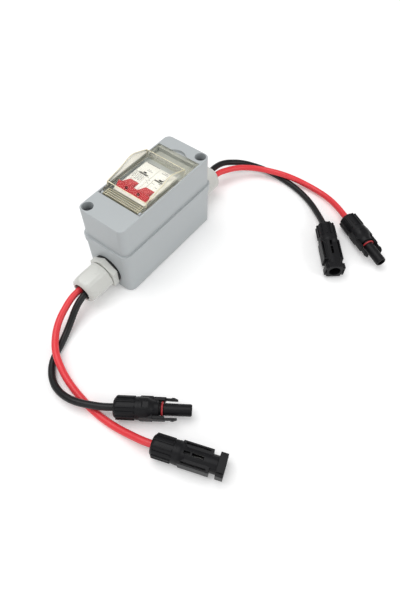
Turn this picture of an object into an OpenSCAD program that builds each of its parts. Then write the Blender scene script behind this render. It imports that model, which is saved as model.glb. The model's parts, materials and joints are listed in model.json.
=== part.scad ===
// Two-pole DC isolating breaker in a small weatherproof box, wired through a gland at
// each end, with a plug connector on the end of each of its four cables.
// Origin: centre of the underside of the box. +X runs along the box, +Y to its left
// side seen from the -X gland, +Z up. Millimetres.

/* [Enclosure] */
// Length of the lid, outside
lid_l = 121; // [116:1:150]
// Width of the lid, outside
lid_w = 50.6; // [50:0.2:62]
// Height from the underside of the box to the top of the lid
box_h = 81; // [78:0.5:90]
// Height of the joint between base and lid
seam_z = 49.7; // [40:0.1:58]
// How far the base stands out beyond the lid on each side
base_step = 1; // [0.5:0.1:2]
// How far the rim of the base stands out beyond the base wall
rim_step = 1.1; // [0.5:0.1:2]
// Height of the rim band under the joint
rim_h = 7; // [4:0.5:12]
// Radius of the upright corners
corner_r = 6; // [3:0.5:9]
// Wall thickness of the base
base_wall = 2.3; // [1.8:0.1:3]
// Floor thickness of the base
floor_t = 2.4; // [2:0.1:4]
// Distance of each wall screw hole from the middle of the box
wall_hole_x = 44; // [40:0.5:48]
// Radius of the wall screw holes
wall_hole_r = 2.25; // [1.6:0.05:2.6]
// Wall thickness of the lid
lid_wall = 2; // [1.6:0.1:2.6]
// Thickness of the lid's top plate
lid_top_t = 2.4; // [2:0.1:4]

/* [Lid screws] */
// Distance of a lid screw from the end of the lid
screw_end = 6.5; // [6.2:0.1:9]
// Distance of a lid screw from the side of the lid
screw_side = 6.7; // [6.2:0.1:9]
// Radius of the screw recess in the lid
recess_r = 5.2; // [4.6:0.1:5.4]
// Depth of the screw recess
recess_depth = 9; // [6:0.5:20]
// Radius of the screw shank
screw_r = 1.75; // [1.5:0.05:2]
// Radius of the screw head
screw_head_r = 3.8; // [3:0.1:4.2]
// Height of the screw head
screw_head_h = 2.6; // [2:0.1:4]
// Radius of the screw bosses
boss_r = 4; // [3.5:0.1:4.2]

/* [Window] */
// Hinge end of the window opening, from the middle of the box
window_near = 36; // [34:0.5:40]
// Free end of the window opening, from the middle of the box
window_far = 45.5; // [42:0.5:50]
// Distance from the side of the lid to the window opening
window_side = 1.55; // [1.4:0.05:3]
// Width of the ledge under the sides of the window
ledge_side = 1.15; // [0.8:0.05:2]
// Width of the ledge under the free end of the window
ledge_end = 2.5; // [1.5:0.1:4]
// Thickness of the window's flange
door_t = 2.2; // [1.6:0.1:3]
// Gap between window and lid
door_gap = 0.35; // [0.3:0.05:0.6]
// Depth of the well under the window
well_depth = 7; // [6.6:0.1:9]
// Floor thickness of the well
well_t = 2; // [1.5:0.1:3]
// Height of the dome above the lid at its highest
dome_h = 12.4; // [12:0.1:16]
// Height of the dome's front wall above the lid
dome_front_h = 5.6; // [5:0.1:8]
// Height of the dome's rear wall above the lid
dome_rear_h = 6; // [4:0.1:8]
// Front of the dome, from the middle of the box
dome_near = 26; // [25:0.5:28]
// Rear of the dome, from the middle of the box
dome_far = 27; // [24:0.5:32]
// Distance from the side of the window to the side of the dome
dome_side = 0.8; // [0.4:0.1:1.4]
// Skin thickness of the dome
dome_skin = 1.5; // [1.2:0.1:1.6]
// Radius of the hinge pin
pin_r = 1; // [0.8:0.05:1.2]
// Radius of the hinge barrel on the window
barrel_r = 2.4; // [2.2:0.1:2.5]
// Running clearance of the hinge pin in the barrel
hinge_run = 0.05; // [0.03:0.01:0.08]
// Width of the ears that hold the hinge pin
ear_w = 2.2; // [1.8:0.1:3]
// Width of the finger recess in the lid
finger_w = 17; // [14:0.5:22]
// Reach of the finger recess beyond the window
finger_reach = 4; // [2:0.1:4.5]
// Depth of the finger recess
finger_depth = 3; // [2:0.1:6]

/* [Rail] */
// Width of the mounting rail
rail_w = 35; // [35:1:35]
// Height of the mounting rail
rail_h = 7.5; // [7.5:0.5:7.5]
// Thickness of the rail's sheet
rail_t = 1; // [1:0.1:1.2]
// Outside width of the rail's channel
rail_channel = 27; // [25:0.5:28]
// Height of the rail's top above the underside of the box
rail_top = 19; // [18:0.5:21]
// Distance of each rail screw from the middle of the box
rail_screw_y = 20.6; // [20.4:0.1:21]
// Radius of the rail screw's head
rail_head_r = 2.4; // [2.2:0.1:2.5]

/* [Breaker] */
// Distance from the middle of the box to the middle of the breaker
breaker_off = -1.25; // [-1.5:0.05:-1]
// Width of one pole
pole_w = 17.9; // [17.8:0.05:18]
// Length of the breaker
breaker_l = 79; // [78:0.5:80]
// Height of the breaker's shoulders above the rail
shoulder_h = 44; // [43:0.5:45]
// Height of the breaker's nose above the rail
nose_h = 60; // [59.8:0.1:60.2]
// Length of the nose
nose_l = 44; // [43.6:0.1:44.4]
// Wall thickness of the breaker case
case_t = 1.4; // [1.2:0.1:1.5]
// Height of the conductors above the rail
terminal_h = 21; // [20:0.5:22]
// Distance from the end of the breaker to a terminal screw
terminal_in = 6.5; // [6:0.1:7]
// Depth of the handle's pivot below the nose
pivot_depth = 12.6; // [12.4:0.1:12.8]
// Distance from the middle of the breaker to the pivot
pivot_off = -1.35; // [-1.5:0.05:-1.2]
// Reach of the handle from its pivot
handle_r = 22; // [21.6:0.1:22.2]
// Width of one handle stem
stem_w = 9.5; // [9:0.1:9.8]
// Throw of the handle, in degrees
throw_deg = 60; // [50:1:60]
// Radius of the handle's trunnions
trunnion_r = 2; // [1.8:0.1:2.2]
// Running clearance of trunnions and pivots
run_gap = 0.05; // [0.03:0.01:0.08]

/* [Glands] */
// Height of the gland's axis above the underside of the box
gland_z = 18; // [17.6:0.1:19]
// Radius of the gland's thread
thread_r = 12.5; // [12:0.1:12.6]
// Radius of the rubber washer
washer_r = 15; // [14.6:0.1:16]
// Thickness of the rubber washer
washer_t = 1.8; // [1:0.1:2.5]
// Width across the flats of the gland's hexagon
hex_af = 28.4; // [27:0.1:30]
// Thickness of the gland's hexagon
hex_t = 6.4; // [5:0.1:8]
// Radius of the dome nut
dome_nut_r = 14.1; // [13.6:0.1:15]
// Length of the dome nut
dome_nut_l = 26; // [22:0.5:28]
// Radius of the gland's mouth
mouth_r = 8.6; // [8.2:0.1:9]
// Thickness of the locknut
locknut_t = 5; // [3:0.5:5.5]
// Width across the flats of the locknut
locknut_af = 28.2; // [27.5:0.1:28.4]

/* [Cables and connectors] */
// Diameter of the cable
cable_d = 6.2; // [5:0.1:7.6]
// Diameter of the stripped conductor inside the box
core_d = 4; // [3.6:0.1:4.2]
// Gap between the two cables in a gland
cable_gap = 1; // [0.6:0.1:1.4]
// Radius of a connector's clamping nut
nut_r = 9.8; // [9.4:0.1:10]
// Length of a connector's clamping nut
nut_l = 19; // [17:0.5:20]
// Length of the connector that ends in a nose
plug_l = 62; // [60:0.5:64]
// Radius of the nose
plug_nose_r = 4.9; // [4.8:0.05:5]
// Length of the connector that ends in a shell
shell_l = 58; // [56:0.5:60]
// Radius of the shell's socket
socket_r = 5.4; // [5.2:0.1:5.6]

/* [Hidden] */
$fn = 48;
eps = 0.01;
// Half sizes and levels of the enclosure
hl = lid_l / 2;
hw = lid_w / 2;
base_hl = hl + base_step;
base_hw = hw + base_step;
inner_hl = base_hl - base_wall;
inner_hw = base_hw - base_wall;
well_floor = box_h - well_depth;
open_hw = hw - window_side;
// Lid screws stand on one diagonal
lid_screws_at = [[-hl + screw_end, hw - screw_side], [hl - screw_end, -hw + screw_side]];
screw_clear = 0.3;
screw_fit = 0.05;
head_seat = box_h - recess_depth;
// Gasket in the rim
gasket_w = 1.4;
gasket_h = 1.2;
gasket_in = 0.6;
// Hinge of the window
hinge_x = -window_near + barrel_r + 0.7;
hinge_z = box_h - 2.6;
ear_in = open_hw - ear_w - 1.15;
ear_r = 2;
pin_hl = ear_in + ear_w;
door_near = -window_near + 5.8;
door_top = box_h - 0.1;
door_under = door_top - door_t;
door_hw = open_hw - door_gap;
dome_hw = door_hw - dome_side;
// Rail
rail_x = breaker_off;
rail_foot = rail_top - rail_h;
rail_hl = inner_hw - 0.5;
// Breaker, heights above the underside of the box
bx = breaker_off;
case_low = rail_top - 5;
shoulder_z = rail_top + shoulder_h;
nose_z = rail_top + nose_h;
cavity_z = rail_top + 1.8;
terminal_z = rail_top + terminal_h;
terminal_x = breaker_l / 2 - terminal_in;
pole_y = pole_w / 2 + 0.05;
pivot = [bx + pivot_off, nose_z - pivot_depth];
drum_r = pivot_depth - 0.1;
drum_w = stem_w + 0.3;
slot_near = -12.6;
slot_far = 10.2;
slot_w = drum_w + 0.4;
apron_far = 8.4;
status_x = pivot[0] + slot_far + 1.1;
trunnion_end = case_t + 0.6;
// Handle, at rest over the -X edge of the nose
handle_low = nose_z + 0.4;
handle_near = 180 - asin((handle_low - pivot[1]) / handle_r);
handle_top = 127;
handle_foot = pivot[0] - 12;
mark_at = 135.5;
// Contact arms
arm_pivot = [-4, rail_top + 30];
arm_pin_r = 1.5;
arm_l = 20;
arm_t = 2.4;
contact_x = 5.4;
// Rivets, from the middle of the breaker
rivets_at = [[-31, rail_top - 1.4], [-19.2, nose_z - 4], [18.6, nose_z - 4], [0, rail_top + 6]];
rivet_r = 1.4;
// Latch that holds the breaker on the rail
latch_z = [rail_top - 4.2, rail_top - 1.8];
latch_w = 12;
latch_tip = rail_w / 2 - 1.8;
latch_end = breaker_l / 2 + 2.2;
latch_travel = 4.5;
// Glands
gland_wall = base_hl;
thread_gap = 0.25;
locknut_r = locknut_af / 2 + 0.8;
body_bore = 9;
hex_at = washer_t;
nut_at = hex_at + hex_t + 0.7;
nut_end = nut_at + dome_nut_l;
nut_af = 2 * dome_nut_r - 2;
nut_turn = 33;
seal_r = 10.2;
seal_at = nut_at + 6;
seal_end = nut_end - 1.6;
far_turn = 58;
cable_r = cable_d / 2;
core_r = core_d / 2;
seal_gap = 0.15;
near_y = (cable_d + cable_gap) / 2;
mouth_x = gland_wall + nut_end;
// Where the far cables lie in their gland: turned about the gland's axis
far_y = near_y * cos(far_turn);
far_z = near_y * sin(far_turn);
// Connectors: tail position and heading
axis_z = nut_r;
grip_at = 2.4;
spigot_at = 9;
ring_at = nut_l + 19.5;
catch_out = 9.3;
// The tails are drawn for this gland mouth and cable, and move with the real ones
drawn_mouth = 96.4;
drawn_cable = 6.2;
drawn_low = 10.2;
tail_shift = mouth_x - drawn_mouth;
plug_near = [-156.3 - tail_shift, -94.2, -55];
shell_near = [-160.2 - tail_shift, -137.4, -70];
shell_far = [115.8 + tail_shift, -131, -141];
plug_far = [139 + tail_shift, -144, -120];

// Cable routes, chosen by hand: x, y, z along the middle of each cable
red_near_drawn = [
    [-drawn_mouth, near_y, gland_z], [-106, 3, 17.6], [-117, 0.8, 15.6], [-126, -1.8, 13.4],
    [-134.6, -6, 11.4], [-142, -11.6, 10.2], [-148.4, -18.2, 9.8], [-153.6, -26, 9],
    [-157.8, -34.8, 7.2], [-161.2, -44, 5], [-163.6, -53.6, 3.6], [-165.4, -63.6, 3.2],
    [-166.8, -74, 3.2], [-167.4, -84.6, 3.2], [-167.2, -96, 3.6], [-166.2, -107, 4.6],
    [-164.4, -119, 6.8], [-162.4, -130, 9.2], [-160.2, -137.4, axis_z]];
black_near_drawn = [
    [-drawn_mouth, -near_y, gland_z], [-104, -4.6, 17], [-112, -6.4, 14.2], [-121, -9, 9.6],
    [-130.6, -12, 5.6], [-140.4, -15.4, 3.6], [-149.4, -18.6, 3.2], [-157.8, -23, 3.2],
    [-164.8, -29.4, 3.6], [-169.8, -37, 4.6], [-172.8, -46, 6.2], [-173.4, -56.6, 8.2],
    [-171.4, -67, 9.6], [-167, -77, 9.9], [-161.4, -87, axis_z], [-156.3, -94.2, axis_z]];
red_far_drawn = [
    [drawn_mouth, -far_y, gland_z - far_z], [107, -3, 15.6], [117, -7, 15.2], [127.6, -12.4, 13.8],
    [137.4, -20, 11.8], [145.4, -30, 10.2], [150.8, -42.4, 9.8], [154.6, -56, 9.8],
    [158.4, -70, 8], [161, -84, 5.6], [161, -98, 4.6], [157.6, -112, 5.6],
    [149.6, -127.4, 8], [139, -144, axis_z]];
black_far_drawn = [
    [drawn_mouth, far_y, gland_z + far_z], [108, 2.6, 20.2], [121, 1.4, 17.6], [133, -3.4, 13.6],
    [143.6, -11, 9.4], [151.4, -21.6, 5.6], [155.6, -34, 3.6], [156, -48, 3.2],
    [154.6, -61.6, 3.2], [152, -75, 3.2], [147.8, -88, 3.2], [141.4, -101, 3.6],
    [131.8, -113.6, 5.6], [115.8, -131, axis_z]];

// Leads inside the box: x, y, z and radius along the middle of each
end_x = breaker_l / 2;
lead_in = terminal_x - 3;
red_near_lead = [
    [-mouth_x, near_y, gland_z, cable_r], [-58, near_y, gland_z, cable_r],
    [-54.6, 3.8, gland_z, cable_r], [-54.5, 3.8, gland_z, core_r], [-51.4, 4.6, 19.6, core_r],
    [-48.6, 6, 24, core_r], [-47, 7.6, 29.4, core_r], [-46, 8.6, 34.4, core_r],
    [-44, 9, 38.4, core_r], [bx - end_x, pole_y, terminal_z, core_r],
    [bx - lead_in, pole_y, terminal_z, core_r]];
black_near_lead = [for (p = red_near_lead) [p[0], -p[1], p[2], p[3]]];
red_far_lead = [
    [mouth_x, -far_y, gland_z - far_z, cable_r], [58, -far_y, gland_z - far_z, cable_r],
    [55.2, -far_y, gland_z - far_z, cable_r], [55.1, -far_y, gland_z - far_z, core_r],
    [52.4, -0.4, 15.8, core_r], [50, 3, 19, core_r], [48.4, 6.4, 24, core_r],
    [47, 8.4, 30, core_r], [45, 9, 35.4, core_r], [42.2, pole_y, 39, core_r],
    [bx + end_x, pole_y, terminal_z, core_r], [bx + lead_in, pole_y, terminal_z, core_r]];
black_far_lead = [
    [mouth_x, far_y, gland_z + far_z, cable_r], [58, far_y, gland_z + far_z, cable_r],
    [55.2, far_y, gland_z + far_z, cable_r], [55.1, far_y, gland_z + far_z, core_r],
    [52, 0.6, 22, core_r], [49, -3, 25, core_r], [47, -6.4, 29.6, core_r],
    [45.4, -8.6, 34.6, core_r], [42.6, -pole_y, 38.8, core_r],
    [bx + end_x, -pole_y, terminal_z, core_r], [bx + lead_in, -pole_y, terminal_z, core_r]];

shell_grey = [0.70, 0.72, 0.74];
gland_grey = [0.82, 0.82, 0.79];
breaker_white = [0.93, 0.93, 0.9];
toggle_red = [0.78, 0.12, 0.12];
cable_red = [0.88, 0.16, 0.18];
connector_black = [0.09, 0.09, 0.1];
rubber_black = [0.05, 0.05, 0.05];
steel = [0.72, 0.73, 0.75];
brass = [0.78, 0.66, 0.36];
copper = [0.78, 0.45, 0.3];

// ---- shared shapes ----

// Block from corner a to corner b
module block(a, b) {
    translate(a) cube(b - a);
}

// Plate with rounded corners, centred, from z0 to z1
module plate(l, w, r, z0, z1) {
    translate([0, 0, z0]) linear_extrude(z1 - z0) {
        square([l - 2 * r, w], center = true);
        square([l, w - 2 * r], center = true);
        for (x = [-1, 1], y = [-1, 1])
            translate([x * (l / 2 - r), y * (w / 2 - r)]) circle(r);
    }
}

// Upright cylinder between two levels
module post(at, r, z0, z1) {
    translate([at[0], at[1], z0]) cylinder(r = r, h = z1 - z0);
}

// Cylinder along Y through x, z, between y0 and y1
module across(at, r, y0, y1) {
    translate([at[0], y0, at[1]]) rotate([-90, 0, 0]) cylinder(r = r, h = y1 - y0);
}

// Outline in x, z, extruded along Y between y0 and y1
module side_plate(points, y0, y1) {
    translate([0, y1, 0]) rotate([90, 0, 0]) linear_extrude(y1 - y0) polygon(points);
}

// Right-hand pole and the +X end are copies turned about or mirrored in the middle
module both_poles() {
    children();
    mirror([0, 1, 0]) children();
}

// Shape built along +X from a gland's wall face, placed at one end of the box
module at_end(end) {
    if (end > 0) translate([gland_wall, 0, gland_z]) children();
    else mirror([1, 0, 0]) translate([gland_wall, 0, gland_z]) children();
}

// Solid of revolution about +X from an outline of [along, radius] points
module turned(points) {
    rotate([0, 90, 0]) rotate_extrude() polygon([for (p = points) [p[1], p[0]]]);
}

// Hexagonal bar along +X
module hex_bar(af, x0, x1) {
    translate([x0, 0, 0]) rotate([0, 90, 0]) cylinder(r = af / sqrt(3), h = x1 - x0, $fn = 6);
}

function unit(v) = v / norm(v);
function pick(p) = [p[0], p[1], p[2]];
function heading(p, i) = unit(pick(p[min(i + 1, len(p) - 1)]) - pick(p[max(i - 1, 0)]));
function flow(p, i) = norm(pick(p[min(i + 1, len(p) - 1)]) - pick(p[i])) < 1
    ? heading(p, i - 1) : norm(pick(p[i]) - pick(p[max(i - 1, 0)])) < 1 && i > 0
    ? heading(p, i + 1) : heading(p, i);

// Drawn route moved to the real mouth, its low stretches lifted for a thicker cable
function at_mouth(route, end) = [for (i = [0:len(route) - 1]) let (p = route[i]) [
    p[0] + end * tail_shift, p[1],
    p[2] > drawn_low || i == len(route) - 1 ? p[2] : p[2] * cable_d / drawn_cable]];

// Tube swept along a route of [x, y, z] or [x, y, z, radius]
module tube(route, r, across_dir, sides, first, last) {
    n = len(route);
    rings = [for (i = [0:n - 1])
        let (
            d = i == 0 ? unit(first) : i == n - 1 ? unit(last) : flow(route, i),
            u = unit(cross(d, across_dir)),
            v = cross(u, d),
            rr = len(route[i]) > 3 ? route[i][3] : r)
        for (k = [0:sides - 1]) pick(route[i])
            + rr * (cos(360 * k / sides) * u + sin(360 * k / sides) * v)];
    faces = concat(
        [[for (k = [0:sides - 1]) sides - 1 - k]],
        [for (i = [0:n - 2], k = [0:sides - 1])
            [i * sides + k, i * sides + (k + 1) % sides,
             (i + 1) * sides + (k + 1) % sides, (i + 1) * sides + k]],
        [[for (k = [0:sides - 1]) (n - 1) * sides + k]]);
    polyhedron(points = rings, faces = [for (f = faces) [for (j = [len(f) - 1:-1:0]) f[j]]]);
}

// ---- enclosure ----

// Deep lower shell: gland holes in both ends, rail bosses and two lid screw bosses
module base() {
    color(shell_grey) difference() {
        union() {
            difference() {
                union() {
                    plate(2 * base_hl, 2 * base_hw, corner_r + base_step, 0, seam_z);
                    plate(2 * (base_hl + rim_step), 2 * (base_hw + rim_step),
                          corner_r + base_step + rim_step, seam_z - rim_h, seam_z);
                }
                plate(2 * inner_hl, 2 * inner_hw, corner_r - 1, floor_t, seam_z + 1);
            }
            for (p = lid_screws_at) {
                post(p, boss_r, floor_t - eps, seam_z);
                translate([p[0] > 0 ? p[0] : -inner_hl - 1, p[1] - 1, floor_t - eps])
                    cube([inner_hl + 1 - abs(p[0]), 2, seam_z - floor_t]);
            }
            for (y = [-1, 1]) post([rail_x, y * rail_screw_y], 3.2, floor_t - eps, rail_foot);
        }
        difference() {
            plate(2 * (hl - gasket_in), 2 * (hw - gasket_in), corner_r - gasket_in,
                  seam_z - gasket_h, seam_z + 1);
            plate(2 * (hl - gasket_in - gasket_w), 2 * (hw - gasket_in - gasket_w),
                  corner_r - gasket_in - gasket_w, seam_z - gasket_h - 1, seam_z + 2);
            for (p = lid_screws_at) post(p, boss_r, seam_z - 5, seam_z + 2);
        }
        for (p = lid_screws_at) post(p, screw_r + screw_fit, seam_z - 22, seam_z + 1);
        for (y = [-1, 1])
            post([rail_x, y * rail_screw_y], screw_r + screw_fit, floor_t + 1, rail_foot + 1);
        for (end = [-1, 1]) at_end(end) translate([-base_wall - 1, 0, 0])
            rotate([0, 90, 0]) cylinder(r = thread_r + thread_gap, h = base_wall + 2);
        for (x = [-wall_hole_x, wall_hole_x]) post([x, 0], wall_hole_r, -1, floor_t + 1);
    }
}

// Soft cord gasket in the groove of the rim, stopped at the screw bosses
module lid_gasket() {
    color(rubber_black) difference() {
        plate(2 * (hl - gasket_in) - 0.1, 2 * (hw - gasket_in) - 0.1, corner_r - gasket_in,
              seam_z - gasket_h, seam_z);
        plate(2 * (hl - gasket_in - gasket_w) + 0.1, 2 * (hw - gasket_in - gasket_w) + 0.1,
              corner_r - gasket_in - gasket_w, seam_z - gasket_h - 1, seam_z + 1);
        for (p = lid_screws_at) post(p, boss_r + 0.1, seam_z - 5, seam_z + 1);
    }
}

// Lid with the ears that hold the window's hinge pin
module lid() {
    color(shell_grey) difference() {
        union() {
            lid_shell();
            for (y0 = [-pin_hl, ear_in]) {
                block([hinge_x - ear_r, y0, well_floor - 0.5],
                      [hinge_x + ear_r, y0 + ear_w, hinge_z]);
                across([hinge_x, hinge_z], ear_r, y0, y0 + ear_w);
            }
        }
        across([hinge_x, hinge_z], pin_r + 0.02, -pin_hl - 1, pin_hl + 1);
    }
}

// Skirt, top plate, window well with its ledge, finger recess and screw recesses
module lid_shell() {
    difference() {
        union() {
            difference() {
                plate(lid_l, lid_w, corner_r, seam_z, box_h);
                plate(lid_l - 2 * lid_wall, lid_w - 2 * lid_wall, corner_r - lid_wall,
                      seam_z - 1, box_h - lid_top_t);
            }
            block([-window_near - well_t, -hw + 1, well_floor - well_t],
                  [window_far + well_t + finger_reach, hw - 1, box_h - 1]);
            for (p = lid_screws_at) {
                post(p, recess_r + 1.1, head_seat - well_t, box_h - 1);
                post(p, boss_r, seam_z, head_seat);
            }
        }
        // well, with a ledge for the window's flange
        block([-window_near, -open_hw + ledge_side, well_floor],
              [window_far - ledge_end, open_hw - ledge_side, box_h + 1]);
        block([-window_near, -open_hw, door_under - 0.2], [window_far, open_hw, box_h + 1]);
        block([-window_near, -ear_in - 0.2, hinge_z - barrel_r - 0.5],
              [-window_near + 6, ear_in + 0.2, box_h + 1]);
        // opening for the breaker's nose
        block([bx - nose_l / 2 - 0.6, -pole_w - 0.6, well_floor - well_t - 1],
              [bx + nose_l / 2 + 0.6, pole_w + 0.6, well_floor + 1]);
        finger_recess();
        for (p = lid_screws_at) {
            post(p, recess_r, head_seat, box_h + 1);
            post(p, screw_r + screw_clear, seam_z - 1, head_seat + 1);
        }
    }
}

// Shallow round scoop beside the window's free end
module finger_recess() {
    r = (finger_w * finger_w / 4 + finger_reach * finger_reach) / (2 * finger_reach);
    intersection() {
        post([window_far + finger_reach - r, 0], r, box_h - finger_depth, box_h + 1);
        block([window_far - ledge_end - 1, -finger_w, box_h - finger_depth - 1],
              [window_far + finger_reach + 1, finger_w, box_h + 2]);
    }
}

// Two lid screws, heads in the recesses
module lid_screws() {
    color(steel) for (p = lid_screws_at) difference() {
        union() {
            post(p, screw_head_r, head_seat, head_seat + screw_head_h);
            post(p, screw_r, seam_z - 20, head_seat + eps);
        }
        for (a = [0, 90]) translate([p[0], p[1], head_seat + screw_head_h]) rotate(a)
            cube([4.6, 0.9, 2.6], center = true);
    }
}

// Outline of the dome from the side, drawn in by t
function dome_outline(t) = [
    [-dome_near + t, door_under - 1], [-dome_near + t, door_top + dome_front_h - 0.8 - t / 2],
    [-dome_near + 1.2 + t, door_top + dome_front_h - t],
    [-13, door_top + (dome_front_h + 0.163 * (dome_h - dome_front_h) + 0.93) - t],
    [-7, door_top + (dome_front_h + 0.5 * (dome_h - dome_front_h)) - t - 0.2],
    [-2, door_top + (dome_front_h + 0.68 * (dome_h - dome_front_h)) - t],
    [3, door_top + dome_h - 0.6 - t], [6, door_top + dome_h - t],
    [9.5, door_top + dome_h - 0.3 - t], [16, door_top + dome_h - 2.3 - t],
    [dome_far - t, door_top + dome_rear_h - t], [dome_far - t, door_under - 1]];

// Clear hinged window with a raised dome over the handle
module window_door() {
    color([0.85, 0.84, 0.72, 0.35]) difference() {
        union() {
            block([door_near, -door_hw, door_under], [window_far - door_gap, door_hw, door_top]);
            block([hinge_x, -ear_in + 0.3, door_under], [door_near + 1, ear_in - 0.3, door_top]);
            across([hinge_x, hinge_z], barrel_r, -ear_in + 0.3, ear_in - 0.3);
            intersection() {
                side_plate(dome_outline(0), -dome_hw, dome_hw);
                block([-dome_near - 1, -dome_hw - 1, door_under],
                      [dome_far + 1, dome_hw + 1, box_h + dome_h + 5]);
            }
        }
        side_plate(dome_outline(dome_skin), -dome_hw + dome_skin, dome_hw - dome_skin);
        across([hinge_x, hinge_z], pin_r + hinge_run, -ear_in - 1, ear_in + 1);
    }
}

// Steel pin from ear to ear
module door_hinge_pin() {
    color(steel) across([hinge_x, hinge_z], pin_r, -pin_hl + 0.1, pin_hl - 0.1);
}

// ---- rail ----

// Top-hat rail, its length across the box
module din_rail() {
    c = rail_channel / 2;
    w = rail_w / 2;
    outline = [
        [-w, rail_top], [-w, rail_top - rail_t], [-c, rail_top - rail_t], [-c, rail_foot],
        [c, rail_foot], [c, rail_top - rail_t], [w, rail_top - rail_t], [w, rail_top],
        [c - rail_t, rail_top], [c - rail_t, rail_foot + rail_t],
        [-c + rail_t, rail_foot + rail_t], [-c + rail_t, rail_top]];
    color(steel) difference() {
        translate([rail_x, 0, 0]) side_plate(outline, -rail_hl, rail_hl);
        for (y = [-1, 1])
            post([rail_x, y * rail_screw_y], screw_r + screw_clear, rail_foot - 1, rail_foot + 2);
    }
}

module rail_screws() {
    color(steel) for (y = [-1, 1]) difference() {
        union() {
            post([rail_x, y * rail_screw_y], rail_head_r, rail_foot + rail_t,
                 rail_foot + rail_t + 2);
            post([rail_x, y * rail_screw_y], screw_r, floor_t + 1.6, rail_foot + rail_t + eps);
        }
        translate([rail_x, y * rail_screw_y, rail_foot + rail_t + 2])
            cube([3.4, 0.7, 1.6], center = true);
    }
}

// ---- glands ----

// Threaded gland body with its hexagon, drawn along +X from the wall face
module gland_body() {
    color(gland_grey) difference() {
        union() {
            turned([[-base_wall - locknut_t - 1.6, 0], [-base_wall - locknut_t - 1.6, thread_r],
                    [hex_at + 1, thread_r], [hex_at + 1, 0]]);
            hex_bar(hex_af, hex_at, hex_at + hex_t);
            turned([[hex_at, 0], [hex_at, 11.4], [seal_at - 0.3, 11.4], [seal_at - 0.3, 0]]);
        }
        turned([[-base_wall - locknut_t - 3, 0], [-base_wall - locknut_t - 3, body_bore],
                [seal_at + 1, body_bore], [seal_at + 1, 0]]);
    }
}

module gland_washer() {
    color(rubber_black) turned([[0, thread_r + 0.2], [0, washer_r], [washer_t, washer_r],
                                [washer_t, thread_r + 0.2]]);
}

module gland_locknut() {
    r = thread_r + 0.05;
    color(gland_grey) difference() {
        intersection() {
            hex_bar(locknut_af, -base_wall - locknut_t, -base_wall);
            turned([[-base_wall - locknut_t, 0], [-base_wall - locknut_t, locknut_r],
                    [-base_wall, locknut_r], [-base_wall, 0]]);
        }
        turned([[-base_wall - locknut_t - 1, 0], [-base_wall - locknut_t - 1, r], [1, r], [1, 0]]);
    }
}

// Rubber insert that grips both cables
module gland_seal(turn) {
    color(rubber_black) difference() {
        turned([[seal_at, 0], [seal_at, seal_r], [seal_end - 5, seal_r],
                [seal_end, mouth_r - 0.2], [seal_end, 0]]);
        for (s = [-1, 1]) rotate([turn, 0, 0])
            translate([seal_at - 1, s * near_y, 0]) rotate([0, 90, 0])
                cylinder(r = cable_r + seal_gap, h = seal_end - seal_at + 2);
    }
}

// Domed clamping nut, six flats round its back running out into the dome
module gland_nut() {
    front = nut_end;
    r = dome_nut_r;
    color(gland_grey) difference() {
        intersection() {
            turned([[nut_at, 0], [nut_at, r - 0.6], [nut_at + 0.6, r], [front - 9, r],
                    [front - 6, r - 0.7], [front - 3, r - 2.2], [front - 1, r - 3.8],
                    [front, mouth_r + 1], [front, 0]]);
            rotate([nut_turn, 0, 0]) hex_bar(nut_af, nut_at - 1, front + 1);
        }
        turned([[nut_at - 1, 0], [nut_at - 1, 11.6], [seal_at, 11.6], [seal_at, seal_r + 0.1],
                [seal_end - 5, seal_r + 0.1], [seal_end, mouth_r], [front + 1, mouth_r],
                [front + 1, 0]]);
    }
}

// ---- breaker ----

// Side outline of the breaker's moulded case
function case_outline() = let (e = breaker_l / 2, n = nose_l / 2, w = rail_w / 2) [
    [-e, case_low], [-w + 1.1, case_low], [-w + 1.1, rail_top - rail_t - 0.5],
    [-w - 0.6, rail_top - rail_t - 0.5], [-w - 0.6, rail_top + 0.3],
    [w + 0.6, rail_top + 0.3], [w + 0.6, case_low], [e, case_low], [e, shoulder_z],
    [n + 0.6, shoulder_z], [n, nose_z], [-n, nose_z], [-n - 0.6, shoulder_z],
    [-e, shoulder_z]];

// Side outline of the space inside
function cavity_outline() = let (
    e = breaker_l / 2 - case_t, n = nose_l / 2 - case_t,
    top = shoulder_z - case_t, lip = nose_z - case_t) [
    [-e, cavity_z], [e, cavity_z], [e, top], [n + 0.6, top], [n, lip], [-n, lip],
    [-n - 0.6, top], [-e, top]];

// Half of one pole between y0 and y1, its hollow between c0 and c1
module pole_half(y0, y1, c0, c1) {
    color(breaker_white) difference() {
        union() {
            difference() {
                translate([bx, 0, 0]) side_plate(case_outline(), y0, y1);
                translate([bx, 0, 0]) side_plate(cavity_outline(), c0, c1);
            }
            pivot_boss(pivot, 4, y0, y1);
            pivot_boss(arm_pivot, 3, y0, y1);
        }
        across(pivot, trunnion_r + run_gap, trunnion_end, 2 * pole_y - trunnion_end);
        across(arm_pivot, arm_pin_r + run_gap, trunnion_end, 2 * pole_y - trunnion_end);
        block([pivot[0] + slot_near, pole_y - slot_w / 2, nose_z - case_t - 1],
              [pivot[0] + slot_far, pole_y + slot_w / 2, nose_z + 1]);
        translate([status_x, pole_y, nose_z]) cube([1.5, 3.4, 1.6], center = true);
        for (s = [-1, 1]) {
            post([bx + s * terminal_x, pole_y], 3.7, shoulder_z - case_t - 1, shoulder_z + 1);
            translate([bx + s * end_x, pole_y, terminal_z]) rotate([0, 90, 0])
                cylinder(r = core_r + 1.2, h = 4, center = true);
        }
        for (p = rivets_at) across([bx + p[0], p[1]], rivet_r + 0.05, -1, 2 * pole_y + 1);
        // channel for the rail latch
        block([bx + rail_w / 2, pole_y - latch_w / 2 - 0.2, latch_z[0] - 0.2],
              [bx + end_x + 1, pole_y + latch_w / 2 + 0.2, latch_z[1] + 0.2]);
    }
}
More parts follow.
